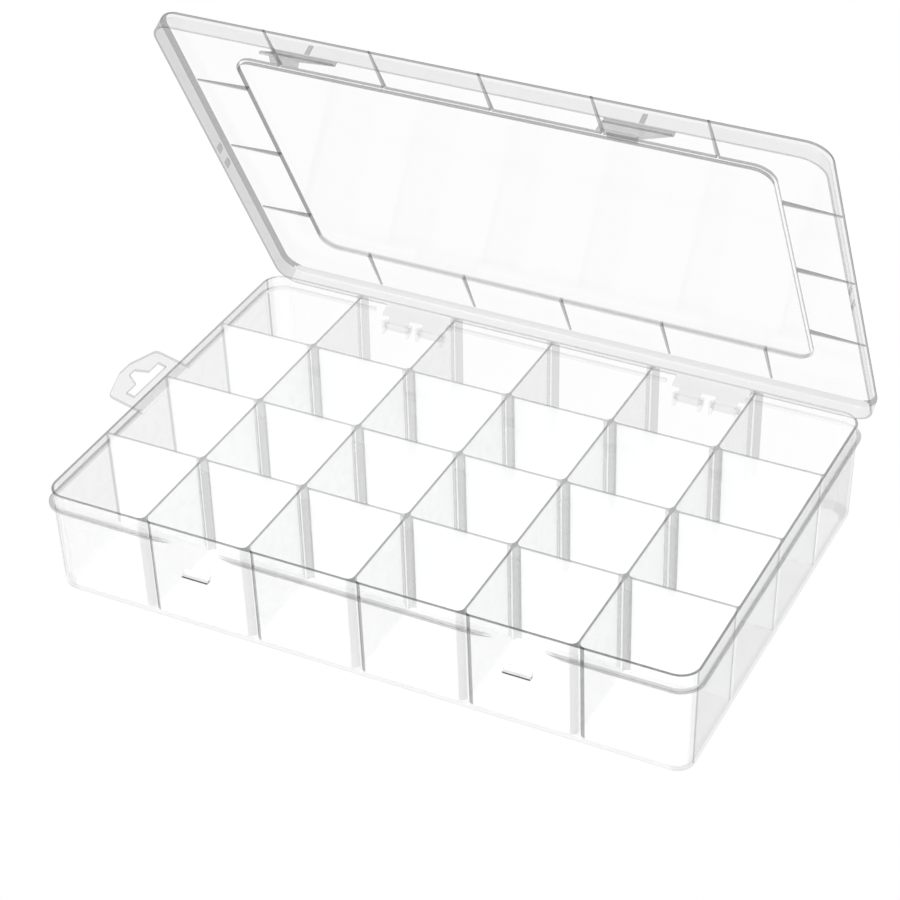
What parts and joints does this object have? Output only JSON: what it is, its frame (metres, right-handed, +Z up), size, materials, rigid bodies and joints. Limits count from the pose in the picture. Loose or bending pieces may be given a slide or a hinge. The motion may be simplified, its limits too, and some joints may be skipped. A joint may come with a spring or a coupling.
{
  "type": "compartment storage box",
  "caption": "Low clear plastic box with a grid of fixed compartments, a hinged lid with a raised window panel, two front clasps and a hang tab.",
  "frame": {"origin": "centre of the tray's flat underside", "axes": "+X along the box towards the end away from the hang tab, +Y towards the lid's hinges, +Z up"},
  "size_m": [0.3627, 0.2466, 0.2609],
  "materials": {
    "clear_plastic": "clear injection-moulded polypropylene, glossy with soft edges"
  },
  "bodies": {
    "base": {"tray_floor": "clear_plastic", "base_edges": "clear_plastic", "base_corners": "clear_plastic", "front_wall": "clear_plastic", "rear_wall": "clear_plastic", "left_wall": "clear_plastic", "right_wall": "clear_plastic", "wall_corners": "clear_plastic", "front_ledge": "clear_plastic", "rear_ledge": "clear_plastic", "left_ledge": "clear_plastic", "right_ledge": "clear_plastic", "ledge_corners": "clear_plastic", "hang_tab": "clear_plastic", "row_divider_1": "clear_plastic", "row_divider_2": "clear_plastic", "row_divider_3": "clear_plastic", "column_divider_1": "clear_plastic", "column_divider_2": "clear_plastic", "column_divider_3": "clear_plastic", "column_divider_4": "clear_plastic", "column_divider_5": "clear_plastic", "left_catch": "clear_plastic", "left_hinge_ears": "clear_plastic", "right_catch": "clear_plastic", "right_hinge_ears": "clear_plastic"},
    "lid": {"lid_margin": "clear_plastic", "window_step": "clear_plastic", "window_panel": "clear_plastic", "front_skirt": "clear_plastic", "rear_skirt": "clear_plastic", "left_skirt": "clear_plastic", "right_skirt": "clear_plastic", "skirt_corners": "clear_plastic", "front_ribs": "clear_plastic", "rear_ribs": "clear_plastic", "left_ribs": "clear_plastic", "right_ribs": "clear_plastic", "clasp_gussets": "clear_plastic", "clasp_strips": "clear_plastic", "left_side_nibs": "clear_plastic", "left_hinge_arms": "clear_plastic", "right_side_nibs": "clear_plastic", "right_hinge_arms": "clear_plastic"},
    "left_clasp": {"left_clasp_plate": "clear_plastic", "left_clasp_hook": "clear_plastic"},
    "right_clasp": {"right_clasp_plate": "clear_plastic", "right_clasp_hook": "clear_plastic"}
  },
  "joints": [
    {"name": "lid_hinge", "type": "hinge", "parent": "base", "child": "lid", "pos_m": [0, 0.11475, 0.0405], "axis": [-1, 0, 0], "range_deg": [-62.2, 117.8]},
    {"name": "left_clasp_hinge", "type": "hinge", "parent": "lid", "child": "left_clasp", "pos_m": [-0.084, 0.01579, 0.24664], "axis": [-1, 0, 0], "range_deg": [-50, 80]},
    {"name": "right_clasp_hinge", "type": "hinge", "parent": "lid", "child": "right_clasp", "pos_m": [0.084, 0.01579, 0.24664], "axis": [-1, 0, 0], "range_deg": [-43, 87]}
  ]
}
